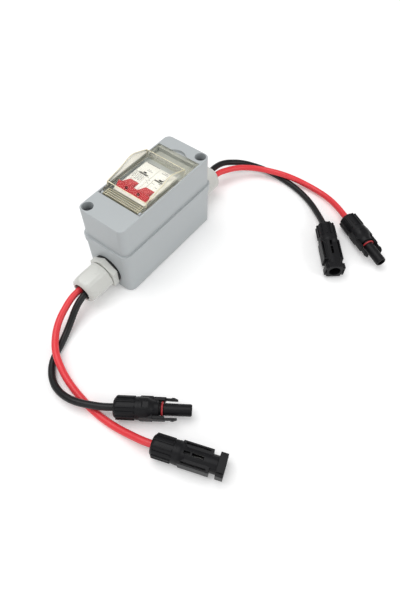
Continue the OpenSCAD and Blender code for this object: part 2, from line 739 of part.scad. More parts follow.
// Boss on the side wall of a pole, up to the drum or arm
module pivot_boss(at, r, y0, y1) {
    in = (2 * pole_y - drum_w) / 2 - 0.2;
    if (y0 < pole_y - 1) across(at, r, 0.1, in);
    else across(at, r, 2 * pole_y - in, 2 * pole_y - 0.1);
}

module pole_case() {
    pole_half(0.1, pole_y, case_t + 0.1, pole_y + 1);
}

module pole_cover() {
    pole_half(pole_y, 2 * pole_y - 0.1, pole_y - 1, 2 * pole_y - case_t - 0.1);
}

module breaker_rivets() {
    color(steel) both_poles() for (p = rivets_at)
        across([bx + p[0], p[1]], rivet_r, 0.4, 2 * pole_y - 0.4);
}

module status_windows() {
    color(rubber_black) both_poles() translate([status_x, pole_y, nose_z - 0.4])
        cube([1.4, 3.3, 0.7], center = true);
}

function polar(r, a) = [pivot[0] + r * cos(a), pivot[1] + r * sin(a)];

// Red bar that joins both stems, resting over the -X edge of the nose
module toggle_handle() {
    arc = [for (a = [handle_near:(handle_top - handle_near) / 6:handle_top])
        polar(handle_r, a)];
    crest = polar(handle_r, handle_top);
    bar = concat([[handle_foot - 0.6, handle_low]], arc, [[handle_foot - 1, crest[1] - 1.4]]);
    stem = [[handle_foot - 1.4, handle_low], polar(handle_r, handle_top + 1), crest,
            [pivot[0] - 3.6, nose_z + 0.7], polar(drum_r + 0.05, 101),
            polar(drum_r - 1, 118), polar(drum_r + 0.05, 136), [handle_foot, handle_low]];
    color(toggle_red) difference() {
        union() {
            side_plate(bar, -pole_w + 0.3, pole_w - 0.3);
            for (s = [-1, 1])
                side_plate(stem, s * pole_y - stem_w / 2, s * pole_y + stem_w / 2);
        }
        for (s = [-1, 1]) {
            across(pivot, drum_r + 0.05, s * pole_y - pole_y + 0.5, s * pole_y + pole_y - 0.5);
            translate([pivot[0], s * 6.8, pivot[1]]) rotate([0, -mark_at, 0])
                translate([handle_r, 0, 0]) cube([3, 3, 2.6], center = true);
        }
    }
}

// White drum of each pole, turning with the handle on its trunnions. Its flat apron
// fills the slot in the nose behind the handle.
module toggle_drums() {
    apron = [pivot, pivot + [0, drum_r], pivot + [apron_far, drum_r],
             pivot + [apron_far + 0.6, drum_r - 1.4], pivot + [apron_far + 1.2, 4]];
    color(breaker_white) both_poles() {
        across(pivot, drum_r, pole_y - drum_w / 2, pole_y + drum_w / 2);
        side_plate(apron, pole_y - drum_w / 2, pole_y + drum_w / 2);
        across(pivot, trunnion_r, trunnion_end + 0.2, 2 * pole_y - trunnion_end - 0.2);
    }
}

// Copper arm with its silver tip, turning on a pin
module contact_arms() {
    top = arm_pivot[1];
    color(copper) both_poles() difference() {
        union() {
            block([arm_pivot[0] - arm_t / 2, pole_y - 2.5, top - arm_l],
                  [arm_pivot[0] + arm_t / 2, pole_y + 2.5, top]);
            across(arm_pivot, 2.7, pole_y - 4.6, pole_y + 4.6);
            block([arm_pivot[0] + arm_t / 2 - eps, pole_y - 2, top - arm_l + 0.4],
                  [arm_pivot[0] + arm_t / 2 + 1, pole_y + 2, top - arm_l + 3.6]);
        }
        across(arm_pivot, arm_pin_r + run_gap, 0, 2 * pole_y);
    }
}

module contact_pivots() {
    color(steel) both_poles()
        across(arm_pivot, arm_pin_r, trunnion_end + 0.2, 2 * pole_y - trunnion_end - 0.2);
}

// Copper strip from the far terminal to the fixed contact
module fixed_contacts() {
    low = rail_top + 8;
    end = bx + terminal_x - 4.4;
    pad = arm_pivot[1] - arm_l;
    color(copper) both_poles() {
        block([contact_x + 1, pole_y - 2.5, low], [end, pole_y + 2.5, low + 1.2]);
        block([contact_x + 1, pole_y - 2.5, low], [contact_x + 2.2, pole_y + 2.5, pad + 6]);
        block([contact_x, pole_y - 2, pad + 1], [contact_x + 1 + eps, pole_y + 2, pad + 5]);
        block([end - 1.2, pole_y - 2.5, low], [end, pole_y + 2.5, terminal_z - 4]);
    }
}

// Stack of steel plates in fibre cards that breaks up the arc
module arc_chutes() {
    color(steel) both_poles() {
        for (s = [-1, 1])
            block([9.5, pole_y + s * 6.6 - 0.5, cavity_z],
                  [24, pole_y + s * 6.6 + 0.5, rail_top + 30]);
        for (k = [0:6])
            block([10.5, pole_y - 6.2, rail_top + 12 + 2.4 * k],
                  [23, pole_y + 6.2, rail_top + 13 + 2.4 * k]);
    }
}

// Copper winding of the magnetic trip, with its plunger
module trip_coils() {
    turns = 6;
    pitch = 1.7;
    rib = [for (k = [0:turns - 1], e = [0:3])
        [(k + [0, 0.25, 0.75, 1][e]) * pitch, [5, 5.9, 5.9, 5][e]]];
    color(copper) both_poles() translate([-23.4, pole_y, rail_top + 13]) {
        turned(concat([[0, 0]], rib, [[turns * pitch, 0]]));
        turned([[-2.4, 0], [-2.4, 2.2], [turns * pitch + 2.4, 2.2], [turns * pitch + 2.4, 0]]);
    }
}

// Steel yoke round each coil
module trip_yokes() {
    color(steel) both_poles() difference() {
        union() {
            block([-25.4, pole_y - 7.2, cavity_z], [-11.2, pole_y + 7.2, cavity_z + 1.6]);
            block([-25.4, pole_y - 7.2, cavity_z], [-23.8, pole_y + 7.2, rail_top + 20]);
            block([-12.8, pole_y - 7.2, cavity_z], [-11.2, pole_y + 7.2, rail_top + 20]);
        }
        translate([-30, pole_y, rail_top + 13]) rotate([0, 90, 0]) cylinder(r = 2.4, h = 30);
    }
}

module each_terminal() {
    both_poles() for (s = [-1, 1])
        translate([bx + s * terminal_x, pole_y, terminal_z]) children();
}

module terminal_clamps() {
    color(brass) each_terminal() difference() {
        block([-4.2, -7.2, -5.6], [4.2, 7.2, 7.4]);
        block([-5, -5.4, -2.9], [5, 5.4, 4.6]);
        post([0, 0], 2.4, 4, 9);
    }
}

module terminal_screws() {
    color(steel) each_terminal() difference() {
        union() {
            post([0, 0], 2.35, core_r + 0.2, shoulder_z - terminal_z - 5.8);
            post([0, 0], 3.4, shoulder_z - terminal_z - 6, shoulder_z - terminal_z - 1.8);
        }
        translate([0, 0, shoulder_z - terminal_z - 1.8]) for (a = [0, 90]) rotate(a)
            cube([5, 0.9, 2.2], center = true);
    }
}

// Sliding catch under the far edge of the rail
module rail_latch() {
    color(connector_black) difference() {
        block([bx + latch_tip, pole_y - latch_w / 2, latch_z[0]],
              [bx + latch_end, pole_y + latch_w / 2, latch_z[1]]);
        block([bx + latch_end - 1.8, pole_y - 2.5, latch_z[0] - 1],
              [bx + latch_end - 0.8, pole_y + 2.5, latch_z[1] + 1]);
    }
}

// ---- leads and cables ----

module lead(route) {
    s = route[0][0] > 0 ? -1 : 1;
    tube(route, core_r, [0, 1, 0], 12, [s, 0, 0], [s, 0, 0]);
}

module red_leads() {
    color(cable_red) {
        lead(red_near_lead);
        lead(red_far_lead);
    }
}

module black_leads() {
    color(rubber_black) {
        lead(black_near_lead);
        lead(black_far_lead);
    }
}

// Cable from the gland at one end to a connector's tail
module cable(route, end, tail) {
    out = [cos(tail[2]), sin(tail[2]), 0];
    tube(at_mouth(route, end), cable_r, [0, 0, 1], 12, [end, 0, 0], out);
}

module red_tail(route, end, tail) {
    color(cable_red) cable(route, end, tail);
}

module black_tail(route, end, tail) {
    color(rubber_black) cable(route, end, tail);
}

// ---- connectors, drawn along +X from the tail ----

module at_tail(tail) {
    translate([tail[0], tail[1], axis_z]) rotate(tail[2]) children();
}

// Clamping nut, ribbed, with the cable's entry at its tail
module clamp_nut() {
    color(connector_black) difference() {
        union() {
            turned([[0, 0], [0, 6.4], [1.2, 7.8], [3.4, nut_r - 0.6], [nut_l - 0.4, nut_r - 0.6],
                    [nut_l, nut_r - 1], [nut_l, 0]]);
            for (a = [0:30:330]) rotate([a + 15, 0, 0])
                translate([4, -0.9, nut_r - 1.2]) cube([nut_l - 5, 1.8, 1.15]);
        }
        turned([[grip_at, 0], [grip_at, 7.2], [nut_l + 1, 7.2], [nut_l + 1, 0]]);
        turned([[-1, 0], [-1, cable_r + 0.25], [grip_at + 1, cable_r + 0.25], [grip_at + 1, 0]]);
    }
}

// Rubber sleeve and claws that the nut closes on the cable
module clamp_grip() {
    color(rubber_black) turned([[grip_at, 0], [grip_at, 5.4], [grip_at + 2, 7],
                                [spigot_at - 0.2, 7], [spigot_at - 0.2, 0]]);
}

// Housing with a nose and two sprung catches
module plug_housing() {
    color(connector_black) difference() {
        union() {
            turned([[spigot_at, 0], [spigot_at, 7], [nut_l + 1, 7], [nut_l + 1, 0]]);
            turned([[nut_l + 0.3, 0], [nut_l + 0.3, 9], [nut_l + 1.6, 9.5], [nut_l + 8, 9.4],
                    [nut_l + 10.5, 8.4], [nut_l + 13, 7.2], [nut_l + 17, 6.8], [nut_l + 17, 0]]);
            block([nut_l + 2, -catch_out, -4.2], [nut_l + 12, catch_out, 4.2]);
            turned([[nut_l + 16, 0], [nut_l + 16, plug_nose_r], [plug_l - 1, plug_nose_r],
                    [plug_l, plug_nose_r - 0.6], [plug_l, 0]]);
            for (s = [-1, 1]) side_catch(s);
        }
        turned([[spigot_at - 1, 0], [spigot_at - 1, 3.4], [plug_l + 1, 3.4], [plug_l + 1, 0]]);
        turned([[ring_at - 1, plug_nose_r - 0.4], [ring_at - 1, plug_nose_r + 1],
                [ring_at + 1, plug_nose_r + 1], [ring_at + 1, plug_nose_r - 0.4]]);
        // grip flats on top and below, and a slot behind each catch
        for (s = [-1, 1]) {
            block([nut_l + 4, -2.6, s > 0 ? 8.6 : -10], [nut_l + 9, 2.6, s > 0 ? 10 : -8.6]);
            block([nut_l + 10.5, s > 0 ? 7.4 : -8.2, -1.4], [nut_l + 17, s > 0 ? 8.2 : -7.4, 1.4]);
        }
    }
}

// One catch in plan: a broad arm, then a slim tongue with a barbed end
module side_catch(s) {
    x = nut_l + 22;
    translate([0, 0, -2.8]) linear_extrude(5.6) polygon([
        [nut_l + 11, s * 7.2], [nut_l + 11, s * catch_out], [x, s * catch_out],
        [x, s * 7.6], [x - 4, s * 7.4]]);
    translate([0, 0, -2]) linear_extrude(4) polygon([
        [x - 1, s * 7.7], [x - 1, s * 8.9], [x + 4, s * 8.7], [x + 4.6, s * catch_out],
        [x + 6.4, s * catch_out], [x + 9.6, s * 8], [x + 9.6, s * 7.3], [x + 4, s * 7.3]]);
}

module plug_ring() {
    color(cable_red) translate([ring_at, 0, 0]) rotate([0, 90, 0]) rotate_extrude()
        translate([plug_nose_r + 0.5, 0]) circle(0.8);
}

// Socket contact inside the nose
module plug_contact() {
    color(steel) turned([[spigot_at + 1, 0], [spigot_at + 1, 3.3], [nut_l + 4, 3.3],
                         [nut_l + 4, 2.9], [plug_l - 2.5, 2.9], [plug_l - 2.5, 2], [nut_l + 22, 2],
                         [nut_l + 22, 0]]);
}

// Housing whose open end takes a nose. Side arms stand off the socket's wall, a neck
// runs on from them, and a collar with two wings ends it.
module shell_housing() {
    arm_end = shell_l - 11;
    collar = shell_l - 6;
    color(connector_black) difference() {
        union() {
            turned([[spigot_at, 0], [spigot_at, 7], [nut_l + 1, 7], [nut_l + 1, 0]]);
            turned([[nut_l + 0.3, 0], [nut_l + 0.3, 9], [nut_l + 1.6, 9.5], [nut_l + 4.5, 9.3],
                    [nut_l + 7, 7.8], [nut_l + 8, 7.2], [shell_l - 1, 7.1], [shell_l, 6.7],
                    [shell_l, 0]]);
            block([nut_l + 4, -catch_out, -5.6], [arm_end, catch_out, 5.6]);
            block([collar, -catch_out, -5.4], [shell_l, catch_out, 5.4]);
            block([collar, -6.6, -7.6], [shell_l, 6.6, 7.6]);
        }
        turned([[spigot_at - 1, 0], [spigot_at - 1, 3.4], [nut_l + 12, 3.4],
                [nut_l + 12, socket_r], [shell_l + 1, socket_r], [shell_l + 1, 0]]);
        for (s = [-1, 1]) {
            // slot between arm and wall, then the window for the other half's catch
            block([nut_l + 6, s > 0 ? 6.9 : -8, -7], [arm_end - 2.5, s > 0 ? 8 : -6.9, 7]);
            block([collar - 3, s > 0 ? 7.6 : -8.5, -2.2],
                  [shell_l + 1, s > 0 ? 8.5 : -7.6, 2.2]);
            for (t = [[nut_l + 4.6, nut_l + 11.4], [nut_l + 13, nut_l + 22]])
                block([t[0], -1.1, s > 0 ? 4.2 : -8], [t[1], 1.1, s > 0 ? 8 : -4.2]);
        }
    }
}

// Pin contact inside the shell
module shell_pin() {
    color(steel) turned([[spigot_at + 1, 0], [spigot_at + 1, 3.3], [nut_l + 11, 3.3],
                         [nut_l + 11, 2], [shell_l - 9, 2], [shell_l - 7.6, 1], [shell_l - 7.6, 0]]);
}

base();
lid();
lid_gasket();
lid_screws();
window_door();
door_hinge_pin();
din_rail();
rail_screws();
at_end(-1) gland_body();  // near_gland_body
at_end(-1) gland_washer();  // near_gland_washer
at_end(-1) gland_locknut();  // near_gland_locknut
at_end(-1) gland_seal(0);  // near_gland_seal
at_end(-1) gland_nut();  // near_gland_nut
at_end(1) gland_body();  // far_gland_body
at_end(1) gland_washer();  // far_gland_washer
at_end(1) gland_locknut();  // far_gland_locknut
at_end(1) gland_seal(far_turn);  // far_gland_seal
at_end(1) gland_nut();  // far_gland_nut
pole_case();  // left_pole_case
pole_cover();  // left_pole_cover
mirror([0, 1, 0]) pole_case();  // right_pole_case
mirror([0, 1, 0]) pole_cover();  // right_pole_cover
breaker_rivets();
status_windows();
toggle_handle();
toggle_drums();
contact_arms();
contact_pivots();
fixed_contacts();
arc_chutes();
trip_coils();
trip_yokes();
terminal_clamps();
terminal_screws();
rail_latch();  // left_rail_latch
mirror([0, 1, 0]) rail_latch();  // right_rail_latch
red_leads();
black_leads();
red_tail(red_near_drawn, -1, shell_near);  // red_cable_near
black_tail(black_near_drawn, -1, plug_near);  // black_cable_near
red_tail(red_far_drawn, 1, plug_far);  // red_cable_far
black_tail(black_far_drawn, 1, shell_far);  // black_cable_far
at_tail(plug_near) plug_housing();  // near_plug_housing
at_tail(plug_near) clamp_nut();  // near_plug_nut
at_tail(plug_near) clamp_grip();  // near_plug_grip
at_tail(plug_near) plug_contact();  // near_plug_contact
at_tail(plug_near) plug_ring();  // near_plug_ring
at_tail(plug_far) plug_housing();  // far_plug_housing
at_tail(plug_far) clamp_nut();  // far_plug_nut
at_tail(plug_far) clamp_grip();  // far_plug_grip
at_tail(plug_far) plug_contact();  // far_plug_contact
at_tail(plug_far) plug_ring();  // far_plug_ring
at_tail(shell_near) shell_housing();  // near_shell_housing
at_tail(shell_near) clamp_nut();  // near_shell_nut
at_tail(shell_near) clamp_grip();  // near_shell_grip
at_tail(shell_near) shell_pin();  // near_shell_pin
at_tail(shell_far) shell_housing();  // far_shell_housing
at_tail(shell_far) clamp_nut();  // far_shell_nut
at_tail(shell_far) clamp_grip();  // far_shell_grip
at_tail(shell_far) shell_pin();  // far_shell_pin
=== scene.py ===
"""Looks of a two-pole DC isolating breaker in a small weatherproof box, with a gland at
each end and four cable tails that end in plug connectors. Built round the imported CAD
frame, in metres, in the frame's own axes: +X along the box, +Z up.
"""

import json
from math import atan2, cos, pi, radians, sin

import bmesh
import bpy
from mathutils import Matrix, Vector


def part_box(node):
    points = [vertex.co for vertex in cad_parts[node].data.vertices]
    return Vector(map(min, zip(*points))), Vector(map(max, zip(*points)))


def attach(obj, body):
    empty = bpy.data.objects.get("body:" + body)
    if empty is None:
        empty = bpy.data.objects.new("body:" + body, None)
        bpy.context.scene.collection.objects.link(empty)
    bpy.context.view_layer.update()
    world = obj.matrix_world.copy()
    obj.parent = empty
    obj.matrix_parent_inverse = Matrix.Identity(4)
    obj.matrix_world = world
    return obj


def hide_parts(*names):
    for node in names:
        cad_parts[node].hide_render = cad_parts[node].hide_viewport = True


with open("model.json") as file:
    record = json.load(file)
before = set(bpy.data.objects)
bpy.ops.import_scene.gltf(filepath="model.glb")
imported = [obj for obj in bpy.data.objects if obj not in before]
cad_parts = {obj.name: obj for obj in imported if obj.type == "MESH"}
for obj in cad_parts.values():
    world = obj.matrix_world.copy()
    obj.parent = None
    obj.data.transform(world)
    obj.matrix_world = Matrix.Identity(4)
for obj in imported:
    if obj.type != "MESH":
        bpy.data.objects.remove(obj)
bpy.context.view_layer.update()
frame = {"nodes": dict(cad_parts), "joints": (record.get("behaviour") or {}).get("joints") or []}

mm = 0.001


# ---- camera ----
# A normal lens held over the near left corner of the box, looking down at it.
# It is level but for half a degree, and takes in all four connectors.
eye = Vector((-0.2272, -0.2327, 0.3746))
yaw, pitch, roll = radians(37.17), radians(56.33), radians(0.47)
ahead = Vector((cos(yaw) * cos(pitch), sin(yaw) * cos(pitch), -sin(pitch)))
level_right = ahead.cross(Vector((0, 0, 1))).normalized()
level_up = level_right.cross(ahead)
right = level_right * cos(roll) + level_up * sin(roll)
up = level_up * cos(roll) - level_right * sin(roll)
lens = bpy.data.cameras.new("studio_camera")
lens.sensor_fit = "VERTICAL"
lens.sensor_height = 36
lens.lens = 28.82
lens.clip_start = 0.01
camera = bpy.data.objects.new("studio_camera", lens)
camera.matrix_world = Matrix((right, up, -ahead)).transposed().to_4x4()
camera.location = eye
bpy.context.scene.collection.objects.link(camera)
bpy.context.scene.camera = camera


# ---- cables ----
# Four tails of single-core solar cable in a smooth cross-linked sheath, 6.2 mm thick.
# Each leaves its gland beside its partner, drops to the table and swings to its connector.
cable_d = 6.2 * mm
near_pair_y, axis_z = 3.6, 9.8
mouth_x, gland_z = 96.4, 18
red_near_route = [
    (-mouth_x, near_pair_y, gland_z), (-106, 3, 17.6), (-117, 0.8, 15.6), (-126, -1.8, 13.4),
    (-134.6, -6, 11.4), (-142, -11.6, 10.2), (-148.4, -18.2, 9.8), (-153.6, -26, 9),
    (-157.8, -34.8, 7.2), (-161.2, -44, 5), (-163.6, -53.6, 3.6), (-165.4, -63.6, 3.2),
    (-166.8, -74, 3.2), (-167.4, -84.6, 3.2), (-167.2, -96, 3.6), (-166.2, -107, 4.6),
    (-164.4, -119, 6.8), (-162.4, -130, 9.2), (-160.2, -137.4, axis_z)]
black_near_route = [
    (-mouth_x, -near_pair_y, gland_z), (-104, -4.6, 17), (-112, -6.4, 14.2), (-121, -9, 9.6),
    (-130.6, -12, 5.6), (-140.4, -15.4, 3.6), (-149.4, -18.6, 3.2), (-157.8, -23, 3.2),
    (-164.8, -29.4, 3.6), (-169.8, -37, 4.6), (-172.8, -46, 6.2), (-173.4, -56.6, 8.2),
    (-171.4, -67, 9.6), (-167, -77, 9.9), (-161.4, -87, axis_z), (-156.3, -94.2, axis_z)]
red_far_route = [
    (mouth_x, -1.91, 14.95), (107, -3, 15.6), (117, -7, 15.2), (127.6, -12.4, 13.8),
    (137.4, -20, 11.8), (145.4, -30, 10.2), (150.8, -42.4, 9.8), (154.6, -56, 9.8),
    (158.4, -70, 8), (161, -84, 5.6), (161, -98, 4.6), (157.6, -112, 5.6),
    (149.6, -127.4, 8), (139, -144, axis_z)]
black_far_route = [
    (mouth_x, 1.91, 21.05), (108, 2.6, 20.2), (121, 1.4, 17.6), (133, -3.4, 13.6),
    (143.6, -11, 9.4), (151.4, -21.6, 5.6), (155.6, -34, 3.6), (156, -48, 3.2),
    (154.6, -61.6, 3.2), (152, -75, 3.2), (147.8, -88, 3.2), (141.4, -101, 3.6),
    (131.8, -113.6, 5.6), (115.8, -131, axis_z)]


def node_group(name, inputs, outputs):
    """Empty shader node group with its sockets."""
    group = bpy.data.node_groups.new(name, "ShaderNodeTree")
    for label, kind, value in inputs:
        socket = group.interface.new_socket(label, in_out="INPUT", socket_type=kind)
        socket.default_value = value
    for label, kind in outputs:
        group.interface.new_socket(label, in_out="OUTPUT", socket_type=kind)
    return group


def add(tree, kind, **settings):
    """New node in a tree, with its properties and its unlinked inputs set."""
    node = tree.nodes.new(kind)
    for key, value in settings.items():
        if hasattr(node, key):
            setattr(node, key, value)
        else:
            node.inputs[key.replace("_", " ")].default_value = value
    return node


def moulded_skin_group():
    """Skin of a moulded or extruded piece: cloudy tone, fine grain, and dust in specks."""
    group = node_group(
        "moulded_skin",
        [("Colour", "NodeSocketColor", (0.5, 0.5, 0.5, 1)), ("Tone", "NodeSocketFloat", 0.06),
         ("Grain scale", "NodeSocketFloat", 1800.0), ("Roughness", "NodeSocketFloat", 0.5),
         ("Dust", "NodeSocketFloat", 0.1)],
        [("Colour", "NodeSocketColor"), ("Roughness", "NodeSocketFloat"),
         ("Height", "NodeSocketFloat")])
    link = group.links.new
    given = add(group, "NodeGroupInput")
    out = add(group, "NodeGroupOutput")
    place = add(group, "ShaderNodeTexCoord")
    cloud = add(group, "ShaderNodeTexNoise", Scale=32.0, Detail=4.0)
    link(place.outputs["Object"], cloud.inputs["Vector"])
    grain = add(group, "ShaderNodeTexNoise", Detail=2.0)
    link(place.outputs["Object"], grain.inputs["Vector"])
    link(given.outputs["Grain scale"], grain.inputs["Scale"])
    specks = add(group, "ShaderNodeTexVoronoi", Scale=420.0, Randomness=1.0)
    link(place.outputs["Object"], specks.inputs["Vector"])
    near_speck = add(group, "ShaderNodeMapRange", From_Min=0.16, From_Max=0.05)
    link(specks.outputs["Distance"], near_speck.inputs["Value"])
    some = add(group, "ShaderNodeMapRange", From_Min=0.52, From_Max=0.7)
    link(cloud.outputs["Fac"], some.inputs["Value"])
    dust = add(group, "ShaderNodeMath", operation="MULTIPLY")
    link(near_speck.outputs["Result"], dust.inputs[0])
    link(some.outputs["Result"], dust.inputs[1])
    dusted = add(group, "ShaderNodeMath", operation="MULTIPLY")
    link(dust.outputs[0], dusted.inputs[0])
    link(given.outputs["Dust"], dusted.inputs[1])
    shade = add(group, "ShaderNodeMath", operation="SUBTRACT")
    link(cloud.outputs["Fac"], shade.inputs[0])
    shade.inputs[1].default_value = 0.5
    toned = add(group, "ShaderNodeMath", operation="MULTIPLY_ADD")
    link(shade.outputs[0], toned.inputs[0])
    link(given.outputs["Tone"], toned.inputs[1])
    toned.inputs[2].default_value = 1.0
    tint = add(group, "ShaderNodeVectorMath", operation="SCALE")
    link(given.outputs["Colour"], tint.inputs[0])
    link(toned.outputs[0], tint.inputs["Scale"])
    paint = add(group, "ShaderNodeMix", data_type="RGBA")
    paint.inputs["B"].default_value = (0.72, 0.7, 0.66, 1)
    link(dusted.outputs[0], paint.inputs["Factor"])
    link(tint.outputs[0], paint.inputs["A"])
    link(paint.outputs["Result"], out.inputs["Colour"])
    matt = add(group, "ShaderNodeMath", operation="MULTIPLY_ADD")
    link(shade.outputs[0], matt.inputs[0])
    matt.inputs[1].default_value = 0.18
    link(given.outputs["Roughness"], matt.inputs[2])
    link(matt.outputs[0], out.inputs["Roughness"])
    link(grain.outputs["Fac"], out.inputs["Height"])
    return group


moulded_skin = moulded_skin_group()


def moulded(name, colour, roughness, grain_scale=1800.0, grain_depth=0.02, tone=0.06,
            dust=0.1, coat=0.0, shine=0.5):
    """Material of a moulded plastic or rubber piece."""
    material = bpy.data.materials.new(name)
    material.use_nodes = True
    tree = material.node_tree
    shader = tree.nodes["Principled BSDF"]
    skin = add(tree, "ShaderNodeGroup", node_tree=moulded_skin)
    for label, value in (("Colour", (*colour, 1)), ("Tone", tone), ("Dust", dust),
                         ("Grain scale", grain_scale), ("Roughness", roughness)):
        skin.inputs[label].default_value = value
    bump = add(tree, "ShaderNodeBump", Strength=0.6, Distance=grain_depth * mm)
    tree.links.new(skin.outputs["Height"], bump.inputs["Height"])
    tree.links.new(skin.outputs["Colour"], shader.inputs["Base Color"])
    tree.links.new(skin.outputs["Roughness"], shader.inputs["Roughness"])
    tree.links.new(bump.outputs["Normal"], shader.inputs["Normal"])
    shader.inputs["Coat Weight"].default_value = coat
    shader.inputs["Coat Roughness"].default_value = 0.25
    shader.inputs["Specular IOR Level"].default_value = shine
    material.diffuse_color = (*colour, 1)
    return material


red_sheath = moulded("red_sheath", (0.8, 0.042, 0.053), roughness=0.36, grain_scale=900.0,
                     grain_depth=0.03, tone=0.12, dust=0.05, coat=0.1, shine=0.4)
black_sheath = moulded("black_sheath", (0.008, 0.008, 0.009), roughness=0.38, grain_scale=900.0,
                       grain_depth=0.03, tone=0.2, dust=0.03, coat=0.0, shine=0.3)


def cable(name, route, sheath):
    """One cable on a smooth curve through its route, standing for its CAD solid."""
    curve = bpy.data.curves.new(name + "_sheath", "CURVE")
    curve.dimensions = "3D"
    curve.resolution_u = 10
    curve.bevel_depth = cable_d / 2
    curve.bevel_resolution = 6
    curve.use_fill_caps = True
    spline = curve.splines.new("BEZIER")
    spline.bezier_points.add(len(route) - 1)
    for knot, place in zip(spline.bezier_points, route):
        knot.co = Vector(place) * mm
        knot.handle_left_type = knot.handle_right_type = "AUTO"
    curve.materials.append(sheath)
    piece = bpy.data.objects.new(name + "_sheath", curve)
    bpy.context.scene.collection.objects.link(piece)
    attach(piece, "box")
    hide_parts(name)


cable("red_cable_near", red_near_route, red_sheath)
cable("black_cable_near", black_near_route, black_sheath)
cable("red_cable_far", red_far_route, red_sheath)
cable("black_cable_far", black_far_route, black_sheath)


# ---- base ----
# Deep lower half of the box, injection-moulded in pale blue-grey polycarbonate with a
# fine satin grain. Its rim band carries the gasket, and its floor is screwed to the wall.
enclosure_grey = moulded("enclosure_grey", (0.465, 0.495, 0.505), roughness=0.4,
                         grain_scale=1500.0, grain_depth=0.04, tone=0.03, dust=0.08)


def sharp(edge):
    """Whether the two faces at an edge turn by more than 35 degrees."""
    return len(edge.link_faces) == 2 and edge.calc_face_angle() > radians(35)


def middle(edge):
    """Point halfway along an edge."""
    return (edge.verts[0].co + edge.verts[1].co) / 2


def copy_of(node):
    """Merged copy of a CAD node's mesh, with its flat faces made whole."""
    bm = bmesh.new()
    bm.from_mesh(frame["nodes"][node].data)
    bmesh.ops.remove_doubles(bm, verts=bm.verts, dist=0.002 * mm)
    bmesh.ops.dissolve_limit(bm, angle_limit=radians(0.6), verts=bm.verts, edges=bm.edges)
    return bm


def round_edges(bm, width, segments, chosen=lambda at: True):
    """Rounds the sharp edges whose middles are chosen."""
    edges = [e for e in bm.edges if sharp(e) and chosen(middle(e))]
    bmesh.ops.bevel(bm, geom=edges, offset=width * mm, offset_type="OFFSET",
                    segments=segments, profile=0.5, affect="EDGES", clamp_overlap=False,
                    material=-1)
    return bm


def finished(bm, name, material, body, stands_for=()):
    """Makes the object from its bmesh, smooth but for its sharp edges, on its body."""
    mesh = bpy.data.meshes.new(name)
    bm.to_mesh(mesh)
    bm.free()
    mesh.materials.append(material)
    mesh.shade_smooth()
    mesh.set_sharp_from_angle(angle=radians(38))
    piece = bpy.data.objects.new(name, mesh)
    bpy.context.scene.collection.objects.link(piece)
    level = piece.modifiers.new("flat_faces_stay_flat", "WEIGHTED_NORMAL")
    level.keep_sharp = True
    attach(piece, body)
    if stands_for:
        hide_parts(*stands_for)
    return piece


def outline_gap(at, half_l, half_w, corner):
    """Distance from a rounded rectangle's outline, in millimetres."""
    past = Vector((max(abs(at.x) / mm - half_l + corner, 0),
                   max(abs(at.y) / mm - half_w + corner, 0)))
    return abs(past.length - corner)


# outlines in plan: half the length, half the width and the corners' radius, in millimetres
rim_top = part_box("base")[1]
rim_outline, wall_outline = (rim_top.x / mm, rim_top.y / mm, 8.1), (61.5, 26.3, 7)
shell = copy_of("base")
round_edges(shell, 1.6, 4, lambda at: (
    at.z < 0.05 * mm and outline_gap(at, *wall_outline) < 0.3))
round_edges(shell, 0.55, 3, lambda at: at.z > 42 * mm and (
    outline_gap(at, *rim_outline) < 0.1
    or (at.z < 43 * mm and outline_gap(at, *wall_outline) < 0.1)))
finished(shell, "base_shell", enclosure_grey, "box", ["base"])


# ---- lid ----
# Upper half, moulded in the same grey, with soft outer edges and a well for the window.
# Two screws in deep round recesses, on one diagonal, hold it to bosses in the base.
lid = copy_of("lid")
lid_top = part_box("lid")[1].z
lid_outline = (60.5, 25.3, 6)
round_edges(lid, 1.0, 4, lambda at: (
    at.z > lid_top - 0.05 * mm and outline_gap(at, *lid_outline) < 0.12))
round_edges(lid, 0.28, 2, lambda at: (
    at.z > 68.5 * mm and outline_gap(at, *lid_outline) > 0.6))
finished(lid, "lid_shell", enclosure_grey, "box", ["lid"])


# ---- gasket ----
# Soft black cord of foamed rubber laid in the groove of the rim under the lid.
gasket_rubber = moulded("gasket_rubber", (0.016, 0.016, 0.017), roughness=0.8,
                        grain_scale=1400.0, grain_depth=0.06, tone=0.3, dust=0.15)


def dress(material, *nodes):
    """Gives CAD nodes that keep their shape a finish."""
    for name in nodes:
        mesh = frame["nodes"][name].data
        mesh.materials.clear()
        mesh.materials.append(material)


dress(gasket_rubber, "lid_gasket")


